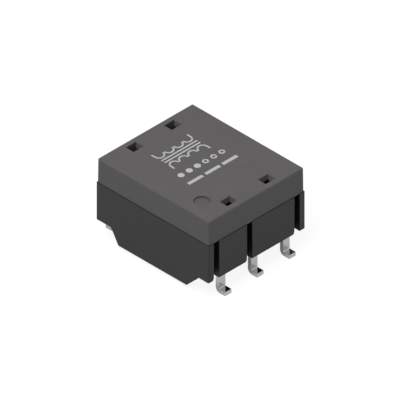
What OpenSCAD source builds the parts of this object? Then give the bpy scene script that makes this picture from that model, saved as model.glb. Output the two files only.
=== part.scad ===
// Surface-mount signal transformer: a wound ring core glued into a moulded base,
// with six insert-moulded terminals and a snap-on cover.
// Frame: X along the case, Y across it, Z up from the board, origin under the middle.

/* [Case] */
// Length of the base, end face to end face
case_len = 13.15; // [12.6:0.05:14.5]
// Width of the base
case_wid = 11.25; // [11.0:0.05:13]
// Height of the top of the cover above the board
total_ht = 7.95; // [7.8:0.05:9]
// Height of the rim of the base, where the cover sits
rim_z = 5.55; // [5.4:0.05:5.85]
// Radius of the upright corners of the base
base_corner_r = 0.1; // [0.05:0.01:0.3]

/* [Base] */
// Gap between the board and the two raised ends of the base
end_clear = 1.82; // [1.6:0.01:1.96]
// Gap between the board and the belly
belly_clear = 0.39; // [0.25:0.01:0.5]
// Length of the flat underside of the belly
belly_len = 8.0; // [7.6:0.1:8.4]
// Run of each slanted end of the belly along X
belly_slant = 0.85; // [0.6:0.05:0.95]
// Thickness of the floor, the belly and the shelves beside it
floor_t = 0.5; // [0.4:0.02:0.6]
// Thickness of the two long side walls
side_wall = 0.58; // [0.45:0.01:0.75]
// Thickness of the two end walls, which hold the terminals
end_wall = 1.05; // [0.95:0.01:1.2]
// Width of the slots in the end walls
slot_w = 0.62; // [0.5:0.01:0.75]
// Depth of the slots from the end face
slot_depth = 0.8; // [0.6:0.01:0.85]
// Radius of the rounded lower corner beside each slot
slot_flare_r = 0.3; // [0.15:0.01:0.4]
// Distance from an outer terminal to the slot beside it
outer_slot_off = 0.95; // [0.9:0.01:1.05]
// Distance from the middle terminal to the slot beside it
middle_slot_off = 0.84; // [0.8:0.01:1.2]

/* [Terminals] */
// Spacing of the terminals along each end
pitch = 3.75; // [3.6:0.01:3.9]
// Width of a terminal
lead_w = 0.75; // [0.6:0.01:0.8]
// Thickness of the terminal strip
lead_t = 0.4; // [0.28:0.01:0.42]
// Distance from the end face back to the front of the leg
lead_inset = 0.3; // [0.22:0.01:0.34]
// Reach of the foot beyond the end face
foot_reach = 0.4; // [0.3:0.02:0.8]
// Inner radius of the bends in the strip
lead_bend_r = 0.1; // [0.05:0.01:0.15]
// Height of the top of the solder tab inside the base
tab_z = 4.2; // [3.9:0.05:4.5]
// Reach of the solder tab into the base
tab_reach = 0.7; // [0.65:0.01:0.8]

/* [Cover] */
// Distance that the cover stands back from the base, all round
cover_inset = 0.05; // [0.02:0.01:0.1]
// Thickness of the skirt of the cover at its lower edge
skirt_t = 0.6; // [0.5:0.01:0.62]
// Thickness of the top of the cover
cover_top_t = 0.6; // [0.45:0.01:0.65]
// Inward slope of the skirt over its height
cover_draft = 0.03; // [0.01:0.01:0.08]
// Radius of the upright corners of the cover at its lower edge
cover_corner_r = 0.18; // [0.12:0.01:0.5]
// Radius of the rounding round the top
cover_fillet_r = 0.14; // [0.05:0.01:0.3]
// Length of a window along X
window_len = 0.9; // [0.6:0.01:1.0]
// Width of a window along Y
window_wid = 1.15; // [0.95:0.01:1.3]
// Distance of the windows from the middle, along Y
latch_y = 2.23; // [1.9:0.01:2.4]
// Diameter of the round recess that marks terminal 1
mark_d = 1.45; // [0.8:0.05:1.6]
// Depth of the round recess
mark_depth = 0.13; // [0.05:0.01:0.2]
// Distance of the recess from the end of the base
mark_from_end = 2.65; // [2.4:0.01:3.2]
// Distance of the recess from the side of the base
mark_from_side = 1.85; // [1.6:0.01:2.4]
// Length of the locating ribs inside the cover
rib_len = 6.0; // [4:0.5:8]
// Thickness of the locating ribs
rib_t = 0.32; // [0.25:0.01:0.4]
// Depth of the locating ribs below the rim
rib_drop = 0.5; // [0.3:0.05:0.7]

/* [Latches] */
// Width of a latch tongue on the base
tongue_w = 0.9; // [0.7:0.01:1.0]
// Thickness of a latch tongue
tongue_t = 0.4; // [0.3:0.01:0.45]
// Height of the underside of the hook above the rim
hook_rise = 1.0; // [0.85:0.01:1.1]
// Height of the hook
hook_ht = 0.38; // [0.3:0.01:0.4]
// Overlap of the hook and the catch inside the cover
hook_grip = 0.24; // [0.15:0.01:0.26]
// Height of the catch inside the cover
catch_ht = 0.45; // [0.4:0.01:0.6]

/* [Ring core and its case] */
// Hole of the ring core
core_id = 4.0; // [3.7:0.05:4.4]
// Height of the ring core
core_ht = 4.2; // [3.6:0.05:4.4]
// Wall of the core case
core_case_wall = 0.2; // [0.15:0.01:0.25]
// Thickness of the lid of the core case, over its spigot
lid_t = 0.25; // [0.2:0.01:0.3]
// Depth of the spigot under the lid
lid_spigot = 0.15; // [0.1:0.01:0.2]
// Radius of the outer edges of the core case
core_case_edge_r = 0.15; // [0.1:0.01:0.18]

/* [Windings] */
// Diameter of the winding wire
wire_d = 0.26; // [0.2:0.01:0.28]
// Gap between neighbouring turns in the hole of the ring
turn_gap = 0.02; // [0.02:0.01:0.1]
// Radius at which a wire end turns away from the ring
lead_out_r = 0.25; // [0.2:0.01:0.3]
// Thickness of the plate between the windings
divider_t = 0.24; // [0.15:0.01:0.3]
// Radius of a solder joint
solder_r = 0.29; // [0.27:0.01:0.3]
// Thickness of the adhesive under the ring
adhesive_t = 0.15; // [0.1:0.01:0.25]
// Diameter of the adhesive under the ring
adhesive_d = 6.4; // [5:0.1:6.8]

/* [Clearances] */
// Play between the hooks and the catches
latch_gap = 0.06; // [0.04:0.01:0.1]
// Play between the locating ribs and the side walls
rib_gap = 0.05; // [0.03:0.01:0.1]
// Play between the ring core and its case
core_gap = 0.05; // [0.03:0.01:0.08]
// Gap between the wire and the core case
wire_gap = 0.03; // [0.03:0.01:0.05]
// Gap between the windings and the slanted floor
ring_gap = 0.1; // [0.05:0.01:0.2]
// Gap between the divider and what is beside it
divider_gap = 0.05; // [0.03:0.01:0.1]

/* [Hidden] */
$fn = 64;
arc_steps = 5;                 // flats in a small rounded corner
tube_sides = 8;                // flats round a wire
eps = 0.01;                    // overrun of a cut past the face that it leaves
over = 1;                      // overrun of a cut that goes right through
case_hx = case_len / 2;
case_hy = case_wid / 2;

// Inside of the base
wall_x = case_hx - end_wall;
wall_y = case_hy - side_wall;
shelf_z = end_clear + floor_t;
floor_z = belly_clear + floor_t;
slant_rise = end_clear - belly_clear;
slant_angle = atan2(slant_rise, belly_slant);
slant_shift = floor_t / sin(slant_angle) - floor_t / tan(slant_angle);
floor_hx = belly_len / 2 - slant_shift;
slant_top_hx = floor_hx + belly_slant;
slot_places = [-pitch - outer_slot_off, -middle_slot_off, pitch + outer_slot_off];

// Inside of the cover
skirt_x = case_hx - cover_inset - skirt_t;
skirt_y = case_hy - cover_inset - skirt_t;
ceiling_z = total_ht - cover_top_t;
skirt_ht = total_ht - rim_z;
inner_corner_r = 0.2;

// Terminals
leg_front_x = case_hx - lead_inset;
leg_back_x = leg_front_x - lead_t;
tip_x = case_hx + foot_reach;
tab_x = wall_x - tab_reach;
lead_tip_r = 0.04;
solder_x = tab_x + tab_reach / 2;

// Wound ring: it lies on the adhesive and just clears the slanted ends of the floor
wire_r = wire_d / 2;
turn_bend_r = core_case_edge_r + wire_gap + wire_r;
wound_edge_r = turn_bend_r + wire_r;
wound_z = floor_z + adhesive_t;
wound_r = floor_hx + (adhesive_t + wound_edge_r) / tan(slant_angle)
    - (wound_edge_r + ring_gap) / sin(slant_angle) + wound_edge_r;
core_case_or = wound_r - wire_d - wire_gap;
core_case_z = wound_z + wire_d + wire_gap;
core_or = core_case_or - core_case_wall - core_gap;
core_ir = core_id / 2;
core_case_ir = core_ir - core_case_wall - core_gap;
core_z = core_case_z + core_case_wall;
lid_z = core_z + core_ht + core_gap + lid_spigot;
core_case_top = lid_z + lid_t;

// Path of the wire round the section of the ring
turn_or = core_case_or + wire_gap + wire_r;
turn_ir = core_case_ir - wire_gap - wire_r;
turn_top = core_case_top + wire_gap + wire_r;
turn_bottom = core_case_z - wire_gap - wire_r;
wire_z = tab_z + wire_r + eps;
wire_pair_y = wire_r + 0.06;
first_angle = asin((wire_r + turn_gap) / turn_ir);
last_angle = 90 - asin((divider_t / 2 + divider_gap + wire_r) / turn_ir);
least_step = 2 * asin((wire_d + turn_gap) / 2 / turn_ir);
turns = floor((last_angle - first_angle) / least_step);
turn_step = (last_angle - first_angle) / turns;

function terminal_x_side(i) = i <= 3 ? 1 : -1;
function terminal_y(i) = (i <= 3 ? i - 2 : 5 - i) * pitch;

// ---- outlines with rounded corners ----

function unit(v) = v / norm(v);

// Points of the arc that rounds the corner p, between its neighbours a and b
function corner_arc(a, p, b, r) =
    let (u = unit(a - p), v = unit(b - p), half = acos(u * v) / 2,
         c = p + unit(u + v) * r / sin(half),
         first = p + u * r / tan(half), last = p + v * r / tan(half))
    [for (i = [0:arc_steps])
        c + r * unit(first + (last - first) * i / arc_steps - c)];

// Outline through corners given as [x, y, radius], where radius 0 is a sharp corner
function rounded(corners) =
    let (n = len(corners), at = [for (c = corners) [c[0], c[1]]])
    [for (i = [0:n - 1])
        each corners[i][2] > 0
            ? corner_arc(at[(i + n - 1) % n], at[i], at[(i + 1) % n], corners[i][2])
            : [at[i]]];

function rounded_box(hx, hy, r) =
    rounded([[-hx, -hy, r], [hx, -hy, r], [hx, hy, r], [-hx, hy, r]]);

// An outline in X and Z, drawn out along Y and centred on it
module along_y(length, outline) {
    rotate([90, 0, 0]) linear_extrude(length, center = true) polygon(outline);
}

// An outline in Y and Z, drawn out along X from x
module along_x(x, length, outline) {
    translate([x, 0, 0]) rotate([90, 0, 90]) linear_extrude(length) polygon(outline);
}

// ---- base ----

module base_outside() {
    bend_r = 0.2;
    edge_r = 0.06;
    intersection() {
        along_y(case_wid, rounded([
            [-case_hx, rim_z, 0], [-case_hx, end_clear, edge_r],
            [-belly_len / 2 - belly_slant, end_clear, bend_r],
            [-belly_len / 2, belly_clear, bend_r],
            [belly_len / 2, belly_clear, bend_r],
            [belly_len / 2 + belly_slant, end_clear, bend_r],
            [case_hx, end_clear, edge_r], [case_hx, rim_z, 0]]));
        linear_extrude(total_ht) polygon(rounded_box(case_hx, case_hy, base_corner_r));
    }
}

module base_inside() {
    bend_r = 0.15;
    along_y(2 * wall_y, rounded([
        [-wall_x, rim_z + over, 0], [-wall_x, shelf_z, bend_r],
        [-slant_top_hx, shelf_z, bend_r], [-floor_hx, floor_z, bend_r],
        [floor_hx, floor_z, bend_r], [slant_top_hx, shelf_z, bend_r],
        [wall_x, shelf_z, bend_r], [wall_x, rim_z + over, 0]]));
}

// Slots of the +X end, each with its lower -Y corner rounded off
module end_slots() {
    for (y = slot_places)
        let (left = y - slot_w / 2, right = y + slot_w / 2)
            along_x(case_hx - slot_depth, slot_depth + over, rounded([
                [right, rim_z + over, 0], [left, rim_z + over, 0],
                [left, end_clear, slot_flare_r],
                [left - 2 * slot_flare_r, end_clear, 0],
                [left - 2 * slot_flare_r, end_clear - over, 0],
                [right, end_clear - over, 0]]));
}

// Springy tongues of the +X end, hooked outward over the catches of the cover
module end_latches() {
    root_z = rim_z - 0.9;
    hook_z = rim_z + hook_rise;
    hook_x = skirt_x - catch_reach() + hook_grip;
    for (y = [-latch_y, latch_y])
        translate([0, y, 0]) along_y(tongue_w, [
            [wall_x + eps, root_z - tongue_t], [wall_x + eps, rim_z - eps],
            [wall_x, rim_z - eps], [wall_x, hook_z], [hook_x, hook_z],
            [hook_x, hook_z + hook_ht / 3], [wall_x - tongue_t / 3, hook_z + hook_ht],
            [wall_x - tongue_t, hook_z + hook_ht], [wall_x - tongue_t, root_z]]);
}

module base() {
    color("#2b2b2b") difference() {
        union() {
            difference() {
                base_outside();
                base_inside();
                for (turn = [0, 180]) rotate(turn) end_slots();
            }
            for (turn = [0, 180]) rotate(turn) end_latches();
        }
        for (i = [1:6]) terminal_shape(i);
    }
}

// ---- cover ----

function catch_reach() = skirt_x - wall_x - latch_gap;

module cover_outside() {
    top_r = cover_corner_r - cover_draft;
    fillet_r = min(cover_fillet_r, top_r - eps);
    quarter = [for (i = [0:7]) let (a = i * 90 / 7)
        [top_r - fillet_r * (1 - cos(a)), skirt_ht - fillet_r * (1 - sin(a))]];
    outline = concat([[0, 0], [cover_corner_r, 0]], quarter, [[0, skirt_ht]]);
    post_x = case_hx - cover_inset - cover_corner_r;
    post_y = case_hy - cover_inset - cover_corner_r;
    hull() for (x = [-post_x, post_x], y = [-post_y, post_y])
        translate([x, y, rim_z]) rotate_extrude($fn = 40) polygon(outline);
}

// Catch of the +X end, a wedge on the inner face of the skirt below each window
module end_catches() {
    top_z = rim_z + hook_rise - latch_gap;
    into = skirt_t / 2;
    for (y = [-latch_y, latch_y])
        translate([0, y, 0]) along_y(window_wid, [
            [skirt_x + into, top_z], [skirt_x - catch_reach(), top_z],
            [skirt_x - catch_reach(), top_z - catch_ht / 4], [skirt_x, top_z - catch_ht],
            [skirt_x + into, top_z - catch_ht]]);
}

// Rib of the +Y side, which drops inside the side wall of the base
module side_rib() {
    outer = wall_y - rib_gap;
    inner = outer - rib_t;
    into = skirt_t / 2;
    along_x(-rib_len / 2, rib_len, [
        [inner, rim_z - rib_drop + rib_t / 2], [outer - rib_t / 2, rim_z - rib_drop],
        [outer, rim_z - rib_drop + rib_t / 2], [outer, rim_z], [skirt_y + into, rim_z],
        [skirt_y + into, rim_z + rib_drop], [inner, rim_z + rib_drop]]);
}

module cover() {
    color("#4c4a4b") difference() {
        union() {
            difference() {
                cover_outside();
                translate([0, 0, rim_z - over]) linear_extrude(ceiling_z - rim_z + over)
                    polygon(rounded_box(skirt_x, skirt_y, inner_corner_r));
            }
            for (turn = [0, 180]) rotate(turn) {
                end_catches();
                side_rib();
            }
        }
        for (x = [-1, 1], y = [-latch_y, latch_y])
            translate([x * (skirt_x - window_len / 2), y, ceiling_z + over])
                cube([window_len, window_wid, 4 * over], center = true);
        translate([case_hx - mark_from_end, mark_from_side - case_hy, total_ht - mark_depth])
            cylinder(d = mark_d, h = over);
    }
}

// ---- terminals and solder joints ----

// Strip bent outward into a foot and inward into a solder tab
module terminal_shape(i) {
    outer_r = lead_bend_r + lead_t;
    translate([0, terminal_y(i), 0]) rotate(terminal_x_side(i) > 0 ? 0 : 180)
        along_y(lead_w, rounded([
            [tip_x, 0, lead_tip_r], [leg_back_x, 0, outer_r],
            [leg_back_x, tab_z - lead_t, lead_bend_r], [tab_x, tab_z - lead_t, lead_tip_r],
            [tab_x, tab_z, lead_tip_r], [leg_front_x, tab_z, outer_r],
            [leg_front_x, lead_t, lead_bend_r], [tip_x, lead_t, lead_tip_r]]));
}

module terminal(i) {
    color("#c4c4c2") terminal_shape(i);
}

// Bead of solder on the tab, with the wire ends let into it: two at a middle terminal
module solder_joint(i) {
    ys = terminal_y(i) == 0 ? [-wire_pair_y, wire_pair_y] : [0];
    bead_y = terminal_y(i) == 0 ? lead_w / 2 - solder_r : 0;
    color("#a9abad")
        translate([0, terminal_y(i), 0]) rotate(terminal_x_side(i) > 0 ? 0 : 180)
            difference() {
                intersection() {
                    for (y = [-bead_y, bead_y])
                        translate([solder_x, y, tab_z]) sphere(solder_r);
                    translate([solder_x - over, -over, tab_z]) cube(2 * over);
                }
                for (y = ys)
                    translate([tab_x - over, y, wire_z]) rotate([0, 90, 0])
                        cylinder(r = wire_r, h = solder_x + wire_r - tab_x + over);
            }
}

// ---- ring core, its case and its seat ----

module turned(outline) {
    rotate_extrude() polygon(outline);
}

module ring_core() {
    edge_r = 0.1;
    color("#6b6f73") turned(rounded([
        [core_ir, core_z, edge_r], [core_or, core_z, edge_r],
        [core_or, core_z + core_ht, edge_r], [core_ir, core_z + core_ht, edge_r]]));
}

module core_case_trough() {
    outer_wall = core_case_or - core_case_wall;
    inner_wall = core_case_ir + core_case_wall;
    color("#8f2f2a") turned(rounded([
        [core_case_ir, core_case_z, core_case_edge_r],
        [core_case_or, core_case_z, core_case_edge_r],
        [core_case_or, lid_z, 0], [outer_wall, lid_z, 0], [outer_wall, core_z, 0],
        [inner_wall, core_z, 0], [inner_wall, lid_z, 0], [core_case_ir, lid_z, 0]]));
}

module core_case_lid() {
    spigot_or = core_or;
    spigot_ir = core_ir;
    spigot_z = lid_z - lid_spigot;
    color("#a63a33") turned(rounded([
        [core_case_ir, lid_z, 0], [spigot_ir, lid_z, 0], [spigot_ir, spigot_z, 0],
        [spigot_or, spigot_z, 0], [spigot_or, lid_z, 0], [core_case_or, lid_z, 0],
        [core_case_or, core_case_top, core_case_edge_r],
        [core_case_ir, core_case_top, core_case_edge_r]]));
}

// Plate that stands in the hole of the ring, from the level of the windings up to the cover
module winding_divider() {
    color("#e6e1d2")
        translate([-divider_t / 2, -core_case_ir + divider_gap, wound_z])
            cube([divider_t, 2 * (core_case_ir - divider_gap), ceiling_z - divider_gap - wound_z]);
}

module adhesive_bed() {
    color("#d9d6cc") translate([0, 0, floor_z])
        cylinder(d1 = adhesive_d + adhesive_t, d2 = adhesive_d, h = adhesive_t);
}

// ---- windings ----

function polar(r, angle, z) = [r * cos(angle), r * sin(angle), z];

// Radius and height of the wire along one turn, up the outside, over, down the hole and under
function turn_section() = [for (corner = [
        [turn_or - turn_bend_r, turn_top - turn_bend_r, 0],
        [turn_ir + turn_bend_r, turn_top - turn_bend_r, 90],
        [turn_ir + turn_bend_r, turn_bottom + turn_bend_r, 180],
        [turn_or - turn_bend_r, turn_bottom + turn_bend_r, 270]])
    for (a = [0, 45, 90])
        [corner[0] + turn_bend_r * cos(corner[2] + a),
         corner[1] + turn_bend_r * sin(corner[2] + a)]];

function distance_along(p) =
    [for (i = 0, s = 0; i < len(p); s = s + (i + 1 < len(p) ? norm(p[i + 1] - p[i]) : 0),
        i = i + 1) s];

// All turns of one winding, from the first angle to the last
function turns_path() =
    let (start = [turn_or, wire_z], loop = concat([start], turn_section(), [start]),
         s = distance_along(loop), whole = s[len(s) - 1])
    [for (k = [0:turns - 1], i = [1:len(loop) - 2])
        polar(loop[i][0], first_angle + turn_step * (k + s[i] / whole), loop[i][1])];

// Quarter bend between the outside of the ring and a level, outward wire end
function lead_out(angle, rise) =
    [for (a = [0, 45, 90])
        polar(turn_or + lead_out_r * (1 - sin(a)), angle,
            wire_z + rise * lead_out_r * (1 - cos(a)))];

function curve(a, b, c, d, t) =
    a * pow(1 - t, 3) + 3 * b * t * pow(1 - t, 2) + 3 * c * pow(t, 2) * (1 - t) + d * pow(t, 3);

// Level run from the ring to the solder joint at height y across the tab
function lead_run(angle, y, swing) =
    let (from = polar(turn_or + lead_out_r, angle, wire_z), to = [tab_x, y, wire_z],
         away = polar(1, angle, 0), pull = (tab_x - from[0]) / 2)
    concat([for (i = [1:6])
        curve(from, from + away * swing, to - [pull, 0, 0], to, i / 6)],
        [[solder_x + wire_r / 2, y, wire_z]]);

function backwards(p) = [for (i = [len(p) - 1:-1:0]) p[i]];

function winding_path() = concat(
    backwards(lead_run(first_angle, wire_pair_y, 0.1)),
    lead_out(first_angle, 1),
    turns_path(),
    backwards(lead_out(last_angle, -1)),
    lead_run(last_angle, pitch, 0.6));

function tangent(p, i) =
    unit(p[min(i + 1, len(p) - 1)] - p[max(i - 1, 0)]);

// Side direction carried along a path, so that the tube doesn't twist
function carried(p) =
    [for (i = 0, side = [0, 0, 1]; i < len(p);
        side = i + 1 < len(p) ? squared(side, tangent(p, i + 1)) : side, i = i + 1) side];

function squared(side, along) = unit(side - along * (side * along));

module wire_tube(p) {
    sides = carried(p);
    n = tube_sides;
    last = len(p) - 1;
    points = [for (i = [0:last])
        let (u = sides[i], v = cross(tangent(p, i), u))
        for (k = [0:n - 1])
            p[i] + wire_r * (u * cos(k * 360 / n) + v * sin(k * 360 / n))];
    walls = [for (i = [0:last - 1], k = [0:n - 1])
        let (a = i * n + k, b = i * n + (k + 1) % n)
        each [[a, a + n, b], [b, a + n, b + n]]];
    ends = [[for (k = [0:n - 1]) k], [for (k = [n - 1:-1:0]) last * n + k]];
    polyhedron(points, concat(walls, ends));
}

// Each winding is the same shape, mirrored into its own quarter of the ring
module winding(x_side, y_side) {
    mirror([x_side < 0 ? 1 : 0, 0, 0]) mirror([0, y_side < 0 ? 1 : 0, 0])
        wire_tube(winding_path());
}

module primary_a() { color("#b5651d") winding(1, -1); }
module primary_b() { color("#c0702a") winding(1, 1); }
module secondary_a() { color("#9c4f1a") winding(-1, 1); }
module secondary_b() { color("#a85a20") winding(-1, -1); }

base();
cover();
for (i = [1:6])
    terminal(i);
ring_core();
core_case_trough();
core_case_lid();
primary_a();
primary_b();
secondary_a();
secondary_b();
winding_divider();
adhesive_bed();
for (i = [1:6])
    solder_joint(i);
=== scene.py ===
import math

import bmesh
import bpy
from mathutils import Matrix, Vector


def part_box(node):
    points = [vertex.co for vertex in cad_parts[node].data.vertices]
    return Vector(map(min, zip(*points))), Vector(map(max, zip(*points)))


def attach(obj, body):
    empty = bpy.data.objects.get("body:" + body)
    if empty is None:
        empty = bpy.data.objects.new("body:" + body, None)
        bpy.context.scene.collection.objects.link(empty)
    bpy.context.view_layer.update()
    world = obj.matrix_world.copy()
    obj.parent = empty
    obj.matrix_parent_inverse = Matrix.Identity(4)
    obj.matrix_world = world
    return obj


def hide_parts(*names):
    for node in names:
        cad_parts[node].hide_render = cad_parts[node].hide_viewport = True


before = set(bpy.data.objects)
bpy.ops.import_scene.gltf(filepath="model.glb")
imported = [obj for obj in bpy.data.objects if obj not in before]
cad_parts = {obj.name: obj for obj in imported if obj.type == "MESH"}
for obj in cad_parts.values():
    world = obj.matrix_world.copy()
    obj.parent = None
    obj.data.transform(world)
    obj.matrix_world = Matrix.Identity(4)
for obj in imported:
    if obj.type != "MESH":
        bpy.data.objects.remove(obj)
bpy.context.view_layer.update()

# ---- Camera ----
# A parallel view from above the corner beside terminal 1, with all three axes at one scale.

MM = 0.001
scene = bpy.context.scene

# Width of the view, distance of the camera, and the point that it looks at, in mm.
view_width, view_distance = 33.02, 120
aim_height, aim_shift = 4.2, 0.053

azimuth = math.radians(45)
elevation = math.atan(math.sqrt(0.5))
level_part = math.cos(elevation)
look = Vector((-math.sin(azimuth) * level_part, math.cos(azimuth) * level_part, -math.sin(elevation)))
sideways = Vector((math.cos(azimuth), math.sin(azimuth), 0))
look_at = Vector((0, 0, aim_height * MM)) - sideways * aim_shift * MM

camera_data = bpy.data.cameras.new("camera")
camera_data.type = "ORTHO"
camera_data.ortho_scale = view_width * MM
camera_data.clip_start = 1 * MM
camera_data.clip_end = 2
camera = bpy.data.objects.new("camera", camera_data)
scene.collection.objects.link(camera)
camera.location = look_at - look * view_distance * MM
camera.rotation_euler = look.to_track_quat("-Z", "Y").to_euler()
scene.camera = camera

# ---- Base ----
# Open tray of black glass-filled liquid crystal polymer, injection moulded round the six terminals.
# Its outer edges have the small radius of the tool, and its faces the fine grain of spark erosion.
# The slots of its end walls are left by thin blades, and their upright walls are painted dark as painted
# shade, so that they look black all the way down.


def linear(hex_code):
    """An sRGB hex colour as linear red, green and blue."""
    parts = [int(hex_code[i:i + 2], 16) / 255 for i in (1, 3, 5)]
    return tuple(c / 12.92 if c <= 0.04045 else ((c + 0.055) / 1.055) ** 2.4 for c in parts)


def add_node(tree, kind, inputs=None, **settings):
    """Adds a node with its settings. Each input is a value, or a socket or list of sockets to link from."""
    added = tree.nodes.new(kind)
    for name, value in settings.items():
        setattr(added, name, value)
    for socket, value in (inputs or {}).items():
        for source in value if isinstance(value, list) else [value]:
            if isinstance(source, bpy.types.NodeSocket):
                tree.links.new(source, added.inputs[socket])
            else:
                added.inputs[socket].default_value = source
    return added


def new_material(name, **sockets):
    """A material with those constant shader sockets. Returns it, its tree, its shader and the output that
    gives Object coordinates."""
    material = bpy.data.materials.new(name)
    material.use_nodes = True
    tree = material.node_tree
    shader = tree.nodes["Principled BSDF"]
    for socket, value in sockets.items():
        shader.inputs[socket.replace("_", " ")].default_value = value
    return material, tree, shader, add_node(tree, "ShaderNodeTexCoord").outputs["Object"]


def link_shader(tree, shader, colour, rough, relief):
    """Links the outputs that give the colour, the roughness and the relief to the shader."""
    for source, socket in ((colour, "Base Color"), (rough, "Roughness"), (relief, "Normal")):
        tree.links.new(source, shader.inputs[socket])


def per_mm(size):
    """Scale of a texture whose pattern has that size in millimetres."""
    return 1 / (size * MM)


def moulded_plastic(name, colour, grain, rough, wear_and_highlight):
    """Filled polymer from an eroded mould: fine grain, faint flow clouds, edges rubbed smoother and paler,
    the paleness partly wear and partly a painted highlight. A face attribute multiplies the colour: the
    top's own tint, and painted shade and painted light on the walls of slots and windows. Another marks the
    rubbed edges."""
    cloud_size, flow_size = 1.8, 0.35
    flow_stretch = (0.12, 1.0, 0.5)
    grain_depth, rough_spread, edge_polish = 0.006, 0.05, 0.16
    material, tree, shader, place = new_material(name, Specular_IOR_Level=0.3)
    clouds = add_node(tree, "ShaderNodeTexNoise", {
        "Vector": place, "Scale": per_mm(cloud_size), "Detail": 3.0})
    along = add_node(tree, "ShaderNodeMapping", {"Vector": place, "Scale": flow_stretch})
    flow = add_node(tree, "ShaderNodeTexNoise", {
        "Vector": along.outputs[0], "Scale": per_mm(flow_size), "Detail": 2.0, "Distortion": 0.6})
    mottle = add_node(tree, "ShaderNodeMath", {
        0: clouds.outputs["Fac"], 1: flow.outputs["Fac"]}, operation="MULTIPLY")
    worn = add_node(tree, "ShaderNodeAttribute", attribute_name="worn")
    rubbed_and_highlit = add_node(tree, "ShaderNodeMath", {
        0: worn.outputs["Fac"], 1: clouds.outputs["Fac"]}, operation="MULTIPLY")
    tone = add_node(tree, "ShaderNodeMapRange", {
        "Value": mottle.outputs[0], "From Min": 0.1, "From Max": 0.42, "To Min": 0.95, "To Max": 1.05})
    paler = add_node(tree, "ShaderNodeMath", {
        0: rubbed_and_highlit.outputs[0], 1: wear_and_highlight, 2: tone.outputs[0]}, operation="MULTIPLY_ADD")
    toned = add_node(tree, "ShaderNodeVectorMath", {
        0: linear(colour), "Scale": paler.outputs[0]}, operation="SCALE")
    tint = add_node(tree, "ShaderNodeAttribute", attribute_name="tint")
    tinted_and_shaded = add_node(tree, "ShaderNodeVectorMath", {
        0: toned.outputs[0], 1: tint.outputs["Vector"]}, operation="MULTIPLY")
    speck = add_node(tree, "ShaderNodeTexNoise", {"Vector": place, "Scale": per_mm(grain), "Detail": 2.0})
    speck_rough = add_node(tree, "ShaderNodeMapRange", {
        "Value": speck.outputs["Fac"], "From Min": 0.3, "From Max": 0.7,
        "To Min": rough - rough_spread, "To Max": rough + rough_spread})
    smoother = add_node(tree, "ShaderNodeMath", {
        0: rubbed_and_highlit.outputs[0], 1: -edge_polish, 2: speck_rough.outputs[0]}, operation="MULTIPLY_ADD")
    relief = add_node(tree, "ShaderNodeBump", {
        "Height": speck.outputs["Fac"], "Strength": 0.5, "Distance": grain_depth * MM})
    link_shader(tree, shader, tinted_and_shaded.outputs[0], smoother.outputs[0], relief.outputs[0])
    return material


def new_piece(name, mesh):
    """An object in the scene with that mesh."""
    piece = bpy.data.objects.new(name, mesh)
    scene.collection.objects.link(piece)
    return piece


def plain_mesh(piece, material):
    """Replaces a piece's modifiers by their result, with one material."""
    graph = bpy.context.evaluated_depsgraph_get()
    mesh = bpy.data.meshes.new_from_object(piece.evaluated_get(graph))
    piece.modifiers.clear()
    piece.data = mesh
    mesh.name = piece.name
    mesh.materials.clear()
    mesh.materials.append(material)


def smooth_faces(piece, sharp_from):
    """Smooth shading, except over edges sharper than that angle in degrees."""
    piece.data.polygons.foreach_set("use_smooth", [True] * len(piece.data.polygons))
    piece.data.set_sharp_from_angle(angle=math.radians(sharp_from))


def weight_normals(piece, smooth_to):
    """Sets each corner's normal from the faces round it that lie within that angle in degrees, by their
    area, so that the large faces shade and reflect as flat ones."""
    mesh = piece.data
    around = [[] for _ in mesh.vertices]
    for face in mesh.polygons:
        for i in face.vertices:
            around[i].append(face)
    least = math.cos(math.radians(smooth_to))
    normals = []
    for face in mesh.polygons:
        for i in face.vertices:
            near = [other for other in around[i] if other.normal.dot(face.normal) > least]
            weighted = [other.normal * other.area / MM ** 2 for other in near]
            normals.append(sum(weighted, Vector()).normalized())
    mesh.normals_split_custom_set(normals)


def welded_copy(cad_node, name):
    """A copy of a CAD node's mesh with its loose triangles joined and its flat faces made whole."""
    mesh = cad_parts[cad_node].data.copy()
    shape = bmesh.new()
    shape.from_mesh(mesh)
    bmesh.ops.remove_doubles(shape, verts=shape.verts, dist=0.0005 * MM)
    bmesh.ops.dissolve_limit(shape, angle_limit=math.radians(0.5), verts=shape.verts, edges=shape.edges)
    shape.to_mesh(mesh)
    shape.free()
    return new_piece(name, mesh)


# Degrees between two faces: from the first the edge is sharp, and up to the second they shade as one.
sharp_angle, shared_angle = 40, 50


def round_edges(piece, radius, share, material):
    """Rounds the sharp edges. share(middle of the edge in mm) gives the part of the radius that it gets."""
    shape = bmesh.new()
    shape.from_mesh(piece.data)
    weight = shape.edges.layers.float.new("bevel_weight_edge")
    for edge in shape.edges:
        if len(edge.link_faces) == 2 and edge.calc_face_angle() > math.radians(sharp_angle):
            edge[weight] = share((edge.verts[0].co + edge.verts[1].co) / 2 / MM)
    shape.to_mesh(piece.data)
    shape.free()
    rounding = piece.modifiers.new("edge radius", "BEVEL")
    rounding.width = radius * MM
    rounding.segments = 2
    rounding.limit_method = "WEIGHT"
    rounding.use_clamp_overlap = False
    smooth_faces(piece, sharp_angle)
    plain_mesh(piece, material)
    weight_normals(piece, shared_angle)
    return piece


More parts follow.
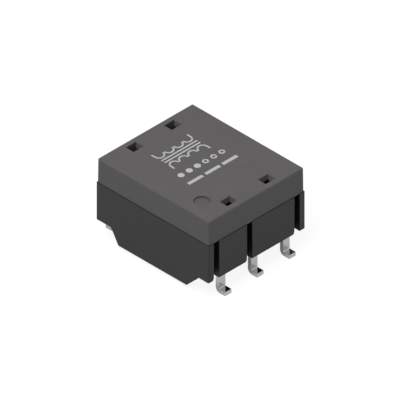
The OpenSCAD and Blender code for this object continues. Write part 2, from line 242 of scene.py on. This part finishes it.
def mark_faces(piece, worn, tint):
    """Writes the attributes that the material reads: the mark of rubbed edges, which are also painted as
    highlights, on the narrow faces of rounded edges where the first test holds for the middle in mm, and the
    tint that the second gives for the middle in mm and the normal, which holds painted shade and painted
    light as well as real tint."""
    square_from, narrow_below = 0.985, 0.05
    worn_and_highlit_marks = piece.data.attributes.new("worn", "FLOAT", "FACE")
    tint_and_painted_shading_marks = piece.data.attributes.new("tint", "FLOAT_COLOR", "FACE")
    for face in piece.data.polygons:
        corners = [piece.data.vertices[i].co for i in face.vertices]
        shortest = min((a - b).length for a, b in zip(corners, corners[1:] + corners[:1]))
        slanted = max(abs(part) for part in face.normal) < square_from
        narrow = slanted and shortest < narrow_below * MM
        worn_and_highlit_marks.data[face.index].value = 1.0 if narrow and worn(face.center / MM) else 0.0
        tint_and_painted_shading_marks.data[face.index].color = (*tint(face.center / MM, face.normal), 1)


base_low, base_high = (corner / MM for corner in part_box("base"))
base_edge, base_corner_r = 0.022, 0.1
rim_z, raised_end_z = 5.55, 1.82
slot_depth, slot_margin, slots_from_side = 0.8, 0.02, 0.2
# The slot walls' colour is multiplied down: painted shade, so that the slots look black.
slot_painted_shade, untinted = (0.12, 0.12, 0.12), (1, 1, 1)
# What lies this near to a face, in mm, is taken as lying on it.
touch = 0.01


def base_edge_share(middle):
    """The radius goes to the edges of the outside, up to the rim, apart from those of the raised ends."""
    at_side = abs(middle.x) > base_high.x - touch or abs(middle.y) > base_high.y - touch
    below_rim = middle.z < rim_z - base_corner_r / 2
    at_raised_end = abs(middle.x) > base_high.x - base_corner_r and middle.z < raised_end_z + base_corner_r
    at_belly = middle.z < base_low.z + touch
    return 1.0 if (at_side and below_rim and not at_raised_end) or at_belly else 0.0


def base_painted_shade(middle, normal):
    """The upright walls of the slots are painted darker, as painted shade."""
    at_slots = base_high.x - slot_depth - slot_margin < abs(middle.x) < base_high.x - slot_margin
    in_slot = at_slots and abs(middle.y) < base_high.y - slots_from_side and abs(normal.z) < 0.5
    return slot_painted_shade if in_slot else untinted


# Its rubbed edges are made strongly paler, in part wear and in part a painted highlight.
base_plastic = moulded_plastic("black_lcp_eroded", "#222222", 0.09, 0.5, 0.9)
base = welded_copy("base", "moulded_base")
round_edges(base, base_edge, base_edge_share, base_plastic)
mark_faces(base, lambda middle: True, base_painted_shade)
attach(base, "root")
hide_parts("base")

# ---- Terminals ----
# Six strips stamped from copper alloy, plated with matt tin, and bent once outward for the foot and
# once inward for the solder tab. Their rolled edges are slightly round, and their ends are cut off.


def new_tree(name, sizes):
    """A geometry node tree with a named input for each size; returns it, its inputs and its output node."""
    tree = bpy.data.node_groups.new(name, "GeometryNodeTree")
    tree.interface.new_socket("Geometry", in_out="INPUT", socket_type="NodeSocketGeometry")
    for size in sizes:
        tree.interface.new_socket(size, in_out="INPUT", socket_type="NodeSocketFloat")
    tree.interface.new_socket("Geometry", in_out="OUTPUT", socket_type="NodeSocketGeometry")
    return tree, add_node(tree, "NodeGroupInput").outputs, add_node(tree, "NodeGroupOutput")


def end_tree(tree, out, geometry, material):
    """Ends a tree with real geometry in one material."""
    real = add_node(tree, "GeometryNodeRealizeInstances", {"Geometry": geometry})
    finished = add_node(tree, "GeometryNodeSetMaterial", {"Geometry": real.outputs[0], "Material": material})
    tree.links.new(finished.outputs[0], out.inputs[0])


def run_tree(piece, tree, sizes, material):
    """Puts the tree on a piece, sets its inputs and keeps only the mesh that it makes."""
    step = piece.modifiers.new(tree.name, "NODES")
    step.node_group = tree
    for item in tree.interface.items_tree:
        if item.in_out == "INPUT" and item.name in sizes:
            step[item.identifier] = sizes[item.name]
    plain_mesh(piece, material)


def wire_frame(name, lines):
    """A piece that holds only points and edges, one run of edges for each line."""
    points, edges = [], []
    for line in lines:
        edges += [(len(points) + i, len(points) + i + 1) for i in range(len(line) - 1)]
        points += line
    mesh = bpy.data.meshes.new(name)
    mesh.from_pydata(points, edges, [])
    return new_piece(name, mesh)


# Tin grains are drawn somewhat coarser than real ones, so that they show, with faint rolling lines
# along the strip. A thin grey oxide dulls the plate in patches.
tin_plate, tree, shader, place = new_material("matt_tin_plate", Metallic=1.0)
grains = add_node(tree, "ShaderNodeTexVoronoi", {"Vector": place, "Scale": per_mm(0.06)})
grain_tone = add_node(tree, "ShaderNodeMapRange", {
    "Value": grains.outputs["Distance"], "From Max": 0.8, "To Min": 0.94, "To Max": 1.0})
strip_wise = add_node(tree, "ShaderNodeMapping", {"Vector": place, "Scale": (0.08, 1.0, 0.08)})
rolling = add_node(tree, "ShaderNodeTexNoise", {
    "Vector": strip_wise.outputs[0], "Scale": per_mm(0.05), "Detail": 2.0})
oxide = add_node(tree, "ShaderNodeTexNoise", {"Vector": place, "Scale": per_mm(0.5), "Detail": 3.0})
tin_colour = add_node(tree, "ShaderNodeVectorMath", {
    0: linear("#b9b9b7"), "Scale": grain_tone.outputs[0]}, operation="SCALE")
tin_rough = add_node(tree, "ShaderNodeMapRange", {
    "Value": oxide.outputs["Fac"], "From Min": 0.3, "From Max": 0.7, "To Min": 0.06, "To Max": 0.14})
heights = add_node(tree, "ShaderNodeMath", {
    0: rolling.outputs["Fac"], 1: 0.6, 2: grains.outputs["Distance"]}, operation="MULTIPLY_ADD")
tin_relief = add_node(tree, "ShaderNodeBump", {
    "Height": heights.outputs[0], "Strength": 0.3, "Distance": 0.0015 * MM})
link_shader(tree, shader, tin_colour.outputs[0], tin_rough.outputs[0], tin_relief.outputs[0])

strip_low, strip_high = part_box("terminal_1")
leg_inset = 0.3 * MM
strips_in_row, bend_steps, edge_steps = 3, 8, 3
strip_sizes = {
    "Strip width": strip_high.y - strip_low.y, "Strip thickness": 0.4 * MM, "Inner bend radius": 0.1 * MM,
    "Edge radius": 0.014 * MM, "Pitch": -(strip_low.y + strip_high.y) / 2}
tree, sizes, out = new_tree("bent strips", strip_sizes)
half_thick = add_node(tree, "ShaderNodeMath", {0: sizes["Strip thickness"], 1: 0.5}, operation="MULTIPLY")
bend = add_node(tree, "ShaderNodeMath", {
    0: sizes["Inner bend radius"], 1: half_thick.outputs[0]}, operation="ADD")
line = add_node(tree, "GeometryNodeMeshToCurve", {"Mesh": sizes["Geometry"]})
route = add_node(tree, "GeometryNodeFilletCurve", {
    "Curve": line.outputs[0], "Radius": bend.outputs[0], "Count": bend_steps}, mode="POLY")
section = add_node(tree, "GeometryNodeCurvePrimitiveQuadrilateral", {
    "Width": sizes["Strip width"], "Height": sizes["Strip thickness"]})
soft_section = add_node(tree, "GeometryNodeFilletCurve", {
    "Curve": section.outputs[0], "Radius": sizes["Edge radius"], "Count": edge_steps}, mode="POLY")
strip = add_node(tree, "GeometryNodeCurveToMesh", {
    "Curve": route.outputs[0], "Profile Curve": soft_section.outputs[0], "Fill Caps": True})
next_strip = add_node(tree, "ShaderNodeCombineXYZ", {"Y": sizes["Pitch"]})
first_strip = add_node(tree, "ShaderNodeVectorMath", {
    0: next_strip.outputs[0], "Scale": -(strips_in_row - 1) / 2}, operation="SCALE")
places = add_node(tree, "GeometryNodeMeshLine", {
    "Count": strips_in_row, "Start Location": first_strip.outputs[0], "Offset": next_strip.outputs[0]})
row = add_node(tree, "GeometryNodeInstanceOnPoints", {
    "Points": places.outputs[0], "Instance": strip.outputs[0]})
other_row = add_node(tree, "GeometryNodeTransform", {
    "Geometry": row.outputs[0], "Rotation": (0, 0, math.pi)})
rows = add_node(tree, "GeometryNodeJoinGeometry", {"Geometry": [row.outputs[0], other_row.outputs[0]]})
end_tree(tree, out, rows.outputs[0], tin_plate)

half = strip_sizes["Strip thickness"] / 2
leg_x = base_high.x * MM - leg_inset - half
tab_z = strip_high.z - half
terminals = wire_frame("bent_terminals", [[
    (strip_high.x, 0, half), (leg_x, 0, half), (leg_x, 0, tab_z), (strip_low.x, 0, tab_z)]])
run_tree(terminals, tree, strip_sizes, tin_plate)
smooth_faces(terminals, shared_angle)
cut_ends = terminals.modifiers.new("cut ends", "BEVEL")
cut_ends.width = 0.008 * MM
cut_ends.segments = 2
cut_ends.angle_limit = math.radians(60)
plain_mesh(terminals, tin_plate)
weight_normals(terminals, shared_angle)
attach(terminals, "root")
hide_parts(*[f"terminal_{i}" for i in range(1, 7)])

# ---- Ring core ----
# Thin strip of iron-based nanocrystalline alloy, wound on itself into a ring: grey metal whose end faces
# show the edges of the turns as fine circles.

# A Mix node has sockets of the same names for several kinds of data. These are the ones for colours.
mix_a, mix_b, mix_out = 6, 7, 2
# Each turn is 0.02 mm thick in reality, and drawn three times as thick here, so that it shows.
turn_drawn = 0.06

ribbon, tree, shader, place = new_material("nanocrystalline_strip", Metallic=1.0)
along_xy = add_node(tree, "ShaderNodeVectorMath", {0: place, 1: (1, 1, 0)}, operation="MULTIPLY")
radius = add_node(tree, "ShaderNodeVectorMath", {0: along_xy.outputs[0]}, operation="LENGTH")
turn_phase = add_node(tree, "ShaderNodeMath", {
    0: radius.outputs["Value"], 1: 2 * math.pi * per_mm(turn_drawn)}, operation="MULTIPLY")
turns = add_node(tree, "ShaderNodeMath", {0: turn_phase.outputs[0]}, operation="SINE")
heat_stain = add_node(tree, "ShaderNodeTexNoise", {"Vector": place, "Scale": per_mm(1.2), "Detail": 3.0})
ribbon_colour = add_node(tree, "ShaderNodeMix", {
    "Factor": heat_stain.outputs["Fac"],
    mix_a: (*linear("#7b7f83"), 1), mix_b: (*linear("#857a6d"), 1)}, data_type="RGBA")
ribbon_rough = add_node(tree, "ShaderNodeMapRange", {
    "Value": turns.outputs[0], "From Min": -1.0, "To Min": 0.45, "To Max": 0.28})
ribbon_relief = add_node(tree, "ShaderNodeBump", {
    "Height": turns.outputs[0], "Strength": 0.4, "Distance": 0.006 * MM})
link_shader(tree, shader, ribbon_colour.outputs[mix_out], ribbon_rough.outputs[0], ribbon_relief.outputs[0])


def always(middle):
    """The whole radius goes to every sharp edge."""
    return 1.0


def dress(piece, cad_node):
    """Fixes a finished piece of the inside to the body, in place of its CAD node."""
    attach(piece, "root")
    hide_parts(cad_node)


core = round_edges(welded_copy("ring_core", "strip_wound_core"), 0.02, always, ribbon)
dress(core, "ring_core")

# ---- Core case ----
# Trough and lid of black-brown polyamide that keep the winding tension off the brittle strip. The lid is
# pressed on over the core, and both have the plain gloss of a polished mould.

case_plastic, tree, shader, place = new_material("polyamide_moulded", Specular_IOR_Level=0.5)
clouds = add_node(tree, "ShaderNodeTexNoise", {"Vector": place, "Scale": per_mm(0.9), "Detail": 3.0})
case_tone = add_node(tree, "ShaderNodeMapRange", {
    "Value": clouds.outputs["Fac"], "From Min": 0.3, "From Max": 0.7, "To Min": 0.85, "To Max": 1.1})
case_colour = add_node(tree, "ShaderNodeVectorMath", {
    0: linear("#2f2220"), "Scale": case_tone.outputs[0]}, operation="SCALE")
orange_peel = add_node(tree, "ShaderNodeTexNoise", {"Vector": place, "Scale": per_mm(0.2), "Detail": 2.0})
case_rough = add_node(tree, "ShaderNodeMapRange", {
    "Value": orange_peel.outputs["Fac"], "From Min": 0.3, "From Max": 0.7, "To Min": 0.3, "To Max": 0.42})
case_relief = add_node(tree, "ShaderNodeBump", {
    "Height": orange_peel.outputs["Fac"], "Strength": 0.25, "Distance": 0.006 * MM})
link_shader(tree, shader, case_colour.outputs[0], case_rough.outputs[0], case_relief.outputs[0])

for part in ("trough", "lid"):
    half_case = round_edges(welded_copy(f"core_case_{part}", f"core_{part}"), 0.02, always, case_plastic)
    dress(half_case, f"core_case_{part}")

# ---- Windings ----
# Four windings of enamelled copper wire, laid turn by turn round the case. The clear polyurethane
# enamel makes the copper amber and glossy, and the wire shows slight ripples from being pulled tight.

enamel, tree, shader, place = new_material(
    "enamelled_copper", Metallic=1.0, Coat_Weight=0.7, Coat_Roughness=0.12, Coat_IOR=1.55)
streaks = add_node(tree, "ShaderNodeTexNoise", {"Vector": place, "Scale": per_mm(0.7), "Detail": 3.0})
wire_colour = add_node(tree, "ShaderNodeMix", {
    "Factor": streaks.outputs["Fac"],
    mix_a: (*linear("#a8602c"), 1), mix_b: (*linear("#cf8a4c"), 1)}, data_type="RGBA")
ripple = add_node(tree, "ShaderNodeTexNoise", {"Vector": place, "Scale": per_mm(0.12), "Detail": 1.0})
wire_rough = add_node(tree, "ShaderNodeMapRange", {
    "Value": ripple.outputs["Fac"], "From Min": 0.3, "From Max": 0.7, "To Min": 0.2, "To Max": 0.34})
wire_relief = add_node(tree, "ShaderNodeBump", {
    "Height": ripple.outputs["Fac"], "Strength": 0.3, "Distance": 0.004 * MM})
link_shader(tree, shader, wire_colour.outputs[mix_out], wire_rough.outputs[0], wire_relief.outputs[0])

for winding in ("primary_a", "primary_b", "secondary_a", "secondary_b"):
    wire = welded_copy(winding, f"wire_{winding}")
    smooth_faces(wire, 60)
    plain_mesh(wire, enamel)
    dress(wire, winding)

# ---- Winding divider ----
# Strip of pressed aramid board, pushed into the hole of the ring between the two pairs of windings.
# Its cut faces show the fibres, and the board is a little uneven.

board, tree, shader, place = new_material("aramid_board")
fibre_wise = add_node(tree, "ShaderNodeMapping", {"Vector": place, "Scale": (1.0, 0.15, 1.0)})
fibres = add_node(tree, "ShaderNodeTexNoise", {
    "Vector": fibre_wise.outputs[0], "Scale": per_mm(0.06), "Detail": 3.0, "Distortion": 1.2})
board_colour = add_node(tree, "ShaderNodeMix", {
    "Factor": fibres.outputs["Fac"],
    mix_a: (*linear("#cfc6ac"), 1), mix_b: (*linear("#ece7d8"), 1)}, data_type="RGBA")
board_rough = add_node(tree, "ShaderNodeMapRange", {
    "Value": fibres.outputs["Fac"], "From Min": 0.3, "From Max": 0.7, "To Min": 0.7, "To Max": 0.85})
board_relief = add_node(tree, "ShaderNodeBump", {
    "Height": fibres.outputs["Fac"], "Strength": 0.5, "Distance": 0.01 * MM})
link_shader(tree, shader, board_colour.outputs[mix_out], board_rough.outputs[0], board_relief.outputs[0])

divider = round_edges(welded_copy("winding_divider", "divider_board"), 0.015, always, board)
dress(divider, "winding_divider")

# ---- Adhesive bed ----
# Pad of white silicone that holds the wound ring to the floor of the base. It is pressed out flat under
# the ring and cures there, with soft lumps in its skin.

silicone, tree, shader, place = new_material(
    "cured_silicone", Subsurface_Weight=0.2, Subsurface_Scale=0.2 * MM)
lumps = add_node(tree, "ShaderNodeTexNoise", {"Vector": place, "Scale": per_mm(0.8), "Detail": 2.0})
silicone_colour = add_node(tree, "ShaderNodeMix", {
    "Factor": lumps.outputs["Fac"],
    mix_a: (*linear("#c9c6bb"), 1), mix_b: (*linear("#e4e2da"), 1)}, data_type="RGBA")
silicone_rough = add_node(tree, "ShaderNodeMapRange", {
    "Value": lumps.outputs["Fac"], "From Min": 0.3, "From Max": 0.7, "To Min": 0.3, "To Max": 0.5})
silicone_relief = add_node(tree, "ShaderNodeBump", {
    "Height": lumps.outputs["Fac"], "Strength": 0.5, "Distance": 0.03 * MM})
link_shader(
    tree, shader, silicone_colour.outputs[mix_out], silicone_rough.outputs[0], silicone_relief.outputs[0])

bed = round_edges(welded_copy("adhesive_bed", "silicone_pad"), 0.03, always, silicone)
dress(bed, "adhesive_bed")

# ---- Solder joints ----
# Beads of tin-silver-copper solder, reflowed over the wire ends on the six tabs. They set bright, with a
# faintly frosted skin.

solder, tree, shader, place = new_material("reflowed_solder", Metallic=1.0)
frost = add_node(tree, "ShaderNodeTexVoronoi", {"Vector": place, "Scale": per_mm(0.07)})
solder_tone = add_node(tree, "ShaderNodeMapRange", {
    "Value": frost.outputs["Distance"], "From Max": 0.8, "To Min": 0.9, "To Max": 1.0})
solder_colour = add_node(tree, "ShaderNodeVectorMath", {
    0: linear("#c3c5c7"), "Scale": solder_tone.outputs[0]}, operation="SCALE")
solder_rough = add_node(tree, "ShaderNodeMapRange", {
    "Value": frost.outputs["Distance"], "From Max": 0.8, "To Min": 0.12, "To Max": 0.3})
solder_relief = add_node(tree, "ShaderNodeBump", {
    "Height": frost.outputs["Distance"], "Strength": 0.2, "Distance": 0.003 * MM})
link_shader(tree, shader, solder_colour.outputs[0], solder_rough.outputs[0], solder_relief.outputs[0])

for i in range(1, 7):
    bead = welded_copy(f"solder_joint_{i}", f"solder_bead_{i}")
    smooth_faces(bead, shared_angle)
    plain_mesh(bead, solder)
    dress(bead, f"solder_joint_{i}")

# ---- Cover ----
# Shallow lid of dark grey glass-filled polymer, moulded with a little draft, that snaps over the base.
# Its four windows are left by the steel cores that form the catches, and their upright walls are painted
# paler, as painted light. The round recess marks terminal 1. The top face alone is warmer and paler, from
# the matt finish under the print.

cover_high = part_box("cover")[1] / MM
cover_edge, window_edge_share = 0.035, 0.4
outside_band, top_band, window_depth = 0.25, 0.2, 0.65
# The walls of the windows are multiplied up as painted light; the top's tint is its own colour.
top_tint, window_painted_light = (1.18, 1.06, 1.087), (2.1, 2.1, 2.1)


def near_outside(middle):
    """True near the outside of the cover, where its corners and sides are."""
    return abs(middle.x) > cover_high.x - outside_band or abs(middle.y) > cover_high.y - outside_band


def cover_edge_share(middle):
    """The radius goes to the outer edges at the top and at the rim, and a part of it to the windows."""
    at_top = middle.z > cover_high.z - top_band
    if at_top and not near_outside(middle):
        return window_edge_share
    at_rim = abs(middle.z - rim_z) < touch
    return 1.0 if near_outside(middle) and (at_rim or at_top) else 0.0


def cover_tint_and_painted_light(middle, normal):
    """The top face has its own warmer tint, and the upright walls of the windows are painted paler, as
    painted light.
    """
    if normal.z > 0.99 and middle.z > cover_high.z - touch:
        return top_tint
    below_top = cover_high.z - window_depth < middle.z < cover_high.z - top_band
    in_window = below_top and not near_outside(middle) and abs(normal.z) < 0.3
    return window_painted_light if in_window else untinted


# Its rubbed edges are made a little paler, in part wear and in part a painted highlight.
cover_plastic = moulded_plastic("grey_lcp_eroded", "#4e4e4e", 0.1, 0.5, 0.3)
cover = welded_copy("cover", "snap_cover")
round_edges(cover, cover_edge, cover_edge_share, cover_plastic)
mark_faces(cover, near_outside, cover_tint_and_painted_light)
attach(cover, "root")
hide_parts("cover")

# ---- Printed marks ----
# White ink pad-printed on the cover: the plain circuit symbol of a transformer, a row of six marks for
# the terminals, full for one winding and open for the other, and a broken bar. The film is thin,
# a little uneven and slightly rubbed.

ink, tree, shader, place = new_material("pad_print_ink", Specular_IOR_Level=0.4)
film = add_node(tree, "ShaderNodeTexNoise", {"Vector": place, "Scale": per_mm(0.12), "Detail": 3.0})
rub = add_node(tree, "ShaderNodeMapRange", {
    "Value": film.outputs["Fac"], "From Min": 0.3, "From Max": 0.62, "To Min": 0.8, "To Max": 1.0})
ink_colour = add_node(tree, "ShaderNodeVectorMath", {
    0: linear("#bfc3c4"), "Scale": rub.outputs[0]}, operation="SCALE")
ink_rough = add_node(tree, "ShaderNodeMapRange", {
    "Value": film.outputs["Fac"], "From Min": 0.3, "From Max": 0.7, "To Min": 0.6, "To Max": 0.45})
ink_relief = add_node(tree, "ShaderNodeBump", {
    "Height": film.outputs["Fac"], "Strength": 0.3, "Distance": 0.003 * MM})
link_shader(tree, shader, ink_colour.outputs[0], ink_rough.outputs[0], ink_relief.outputs[0])

symbol_x, marks_x, bar_x = -2.3 * MM, 0.1 * MM, 1.4 * MM
loop_r, loop_count, loop_steps = 0.46 * MM, 4, 12
marks_of_a_kind, mark_steps = 3, 24
bar_half_length, bar_pitch, bar_count = 0.85 * MM, 2.0 * MM, 3
print_sizes = {
    "Loop radius": loop_r, "Loops": float(loop_count), "Coil distance": 0.95 * MM, "Stroke": 0.16 * MM,
    "Mark radius": 0.3 * MM, "Mark pitch": 0.95 * MM, "Bar width": 0.36 * MM, "Film": 0.012 * MM}
tree, sizes, out = new_tree("printed marks", print_sizes)


def row_along_y(tree, instance, count, pitch, x):
    """Instances in a row along Y, centred, at that x."""
    last = add_node(tree, "ShaderNodeMath", {0: count, 1: 1.0}, operation="SUBTRACT")
    length = add_node(tree, "ShaderNodeMath", {0: last.outputs[0], 1: pitch}, operation="MULTIPLY")
    first = add_node(tree, "ShaderNodeMath", {0: length.outputs[0], 1: -0.5}, operation="MULTIPLY")
    start = add_node(tree, "ShaderNodeCombineXYZ", {"X": x, "Y": first.outputs[0]})
    step = add_node(tree, "ShaderNodeCombineXYZ", {"Y": pitch})
    points = add_node(tree, "GeometryNodeMeshLine", {
        "Count": count, "Start Location": start.outputs[0], "Offset": step.outputs[0]})
    copies = add_node(tree, "GeometryNodeInstanceOnPoints", {
        "Points": points.outputs[0], "Instance": instance})
    return copies.outputs[0]


def stroked(tree, curves, width, film):
    """Flat strokes of that width along curves, with closed ends."""
    single = add_node(tree, "GeometryNodeRealizeInstances", {"Geometry": curves})
    nib = add_node(tree, "GeometryNodeCurvePrimitiveQuadrilateral", {"Width": width, "Height": film})
    strokes = add_node(tree, "GeometryNodeCurveToMesh", {
        "Curve": single.outputs[0], "Profile Curve": nib.outputs[0], "Fill Caps": True})
    return strokes.outputs[0]


loop = add_node(tree, "GeometryNodeCurveArc", {
    "Resolution": loop_steps, "Radius": sizes["Loop radius"],
    "Start Angle": -math.pi / 2, "Sweep Angle": math.pi})
loop_pitch = add_node(tree, "ShaderNodeMath", {
    0: sizes["Loop radius"], 1: 2.0, 2: sizes["Stroke"]}, operation="MULTIPLY_ADD")
coil_place = add_node(tree, "ShaderNodeMath", {0: sizes["Coil distance"], 1: -1.0}, operation="MULTIPLY")
coil = row_along_y(tree, loop.outputs[0], sizes["Loops"], loop_pitch.outputs[0], coil_place.outputs[0])
other_coil = add_node(tree, "GeometryNodeTransform", {"Geometry": coil, "Rotation": (0, 0, math.pi)})
coils = add_node(tree, "GeometryNodeJoinGeometry", {"Geometry": [coil, other_coil.outputs[0]]})
coils_placed = add_node(tree, "GeometryNodeTransform", {
    "Geometry": coils.outputs[0], "Translation": (symbol_x, 0, 0)})
lines = add_node(tree, "GeometryNodeMeshToCurve", {"Mesh": sizes["Geometry"]})

open_r = add_node(tree, "ShaderNodeMath", {
    0: sizes["Stroke"], 1: -0.5, 2: sizes["Mark radius"]}, operation="MULTIPLY_ADD")
open_mark = add_node(tree, "GeometryNodeCurvePrimitiveCircle", {
    "Resolution": mark_steps, "Radius": open_r.outputs[0]})
full_mark = add_node(tree, "GeometryNodeMeshCylinder", {
    "Vertices": mark_steps, "Radius": sizes["Mark radius"], "Depth": sizes["Film"]})
half_row = add_node(tree, "ShaderNodeMath", {
    0: sizes["Mark pitch"], 1: marks_of_a_kind / 2}, operation="MULTIPLY")
half_row_back = add_node(tree, "ShaderNodeMath", {0: half_row.outputs[0], 1: -1.0}, operation="MULTIPLY")
marks = {}
for kind, mark, shift in (("open", open_mark, half_row), ("full", full_mark, half_row_back)):
    like_marks = row_along_y(tree, mark.outputs[0], marks_of_a_kind, sizes["Mark pitch"], marks_x)
    offset = add_node(tree, "ShaderNodeCombineXYZ", {"Y": shift.outputs[0]})
    shifted = add_node(tree, "GeometryNodeTransform", {
        "Geometry": like_marks, "Translation": offset.outputs[0]})
    marks[kind] = shifted.outputs[0]

thin = add_node(tree, "GeometryNodeJoinGeometry", {
    "Geometry": [coils_placed.outputs[0], lines.outputs[0], marks["open"]]})
bar = add_node(tree, "GeometryNodeCurvePrimitiveLine", {
    "Start": (0, -bar_half_length, 0), "End": (0, bar_half_length, 0)})
bars = row_along_y(tree, bar.outputs[0], bar_count, bar_pitch, bar_x)
printed = add_node(tree, "GeometryNodeJoinGeometry", {"Geometry": [
    stroked(tree, thin.outputs[0], sizes["Stroke"], sizes["Film"]),
    stroked(tree, bars, sizes["Bar width"], sizes["Film"]), marks["full"]]})
end_tree(tree, out, printed.outputs[0], ink)

# The tree draws the loops, marks and bars itself. It is given the straight lines of the symbol: the two
# of the core, and the leads of both coils.
coil_end = loop_count * loop_r + (loop_count - 1) * print_sizes["Stroke"] / 2
core_line_x, lead = 0.18 * MM, 0.4 * MM
coil_x = print_sizes["Coil distance"]
core_lines = [[(symbol_x + side * core_line_x, y, 0) for y in (-coil_end, coil_end)] for side in (-1, 1)]
leads = [[(symbol_x + side * x, y, 0) for x in (coil_x, coil_x + lead)]
         for side in (-1, 1) for y in (-coil_end, coil_end)]
marks_print = wire_frame("printed_marks", core_lines + leads)
run_tree(marks_print, tree, print_sizes, ink)
for vertex in marks_print.data.vertices:
    vertex.co.z += cover_high.z * MM
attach(marks_print, "root")

# ---- Stage ----
# Pale floor under plain soft light from above and a little to the left. Floor and sky read white in view,
# and the floor keeps the part's shadow. In reflections the sky is white and the floor a pale one that the
# part shades.


def seen_directly(tree):
    """1 for rays from the camera and for reflected and refracted ones, and 0 for the rest."""
    ray = add_node(tree, "ShaderNodeLightPath").outputs
    bounced = add_node(tree, "ShaderNodeMath", {
        0: ray["Is Glossy Ray"], 1: ray["Is Transmission Ray"]}, operation="MAXIMUM")
    return add_node(tree, "ShaderNodeMath", {
        0: ray["Is Camera Ray"], 1: bounced.outputs[0]}, operation="MAXIMUM").outputs[0]


def grey(level):
    """A grey of that linear level."""
    return (level, level, level, 1)


def glow_and_paint(tree, glow, albedo):
    """A matt grey surface that also glows white, so that a shadow darkens it only in part."""
    light = add_node(tree, "ShaderNodeEmission", {"Color": grey(1), "Strength": glow})
    paint = add_node(tree, "ShaderNodeBsdfDiffuse", {"Color": grey(albedo)})
    return add_node(tree, "ShaderNodeAddShader", {0: light.outputs[0], 1: paint.outputs[0]}).outputs[0]


floor_reach, floor_albedo = 0.6, 0.32
view_glow, view_albedo = 0.9, 0.14
reflected_glow, reflected_albedo = 0.21, 0.85

floor_mesh = bpy.data.meshes.new("floor")
corners = [(x * floor_reach, y * floor_reach, 0) for x, y in ((-1, -1), (1, -1), (1, 1), (-1, 1))]
floor_mesh.from_pydata(corners, [], [(0, 1, 2, 3)])
floor = new_piece("floor", floor_mesh)
floor_paint, tree, shader, _ = new_material("white_floor", Base_Color=grey(floor_albedo), Roughness=1.0)
ray = add_node(tree, "ShaderNodeLightPath").outputs
in_view = glow_and_paint(tree, view_glow, view_albedo)
in_reflections = glow_and_paint(tree, reflected_glow, reflected_albedo)
seen = add_node(tree, "ShaderNodeMixShader", {0: ray["Is Camera Ray"], 1: in_reflections, 2: in_view})
mixed = add_node(tree, "ShaderNodeMixShader", {
    0: seen_directly(tree), 1: shader.outputs[0], 2: seen.outputs[0]})
tree.links.new(mixed.outputs[0], tree.nodes["Material Output"].inputs[0])
floor_mesh.materials.append(floor_paint)

sky_on_part, sky_in_view = 0.4, 1.0
world = bpy.data.worlds.new("studio")
scene.world = world
world.use_nodes = True
tree = world.node_tree
background = tree.nodes["Background"]
strength = add_node(tree, "ShaderNodeMapRange", {
    "Value": seen_directly(tree), "To Min": sky_on_part, "To Max": sky_in_view})
background.inputs["Color"].default_value = grey(1)
tree.links.new(strength.outputs[0], background.inputs["Strength"])

softbox_data = bpy.data.lights.new("softbox", "AREA")
softbox_data.shape = "SQUARE"
softbox_data.size = 0.2
softbox_data.energy = 0.72
softbox = bpy.data.objects.new("softbox", softbox_data)
scene.collection.objects.link(softbox)
softbox.location = (0.02, -0.14, 0.29)
softbox.rotation_euler = (look_at - softbox.location).to_track_quat("-Z", "Y").to_euler()

scene.view_settings.view_transform = "Standard"
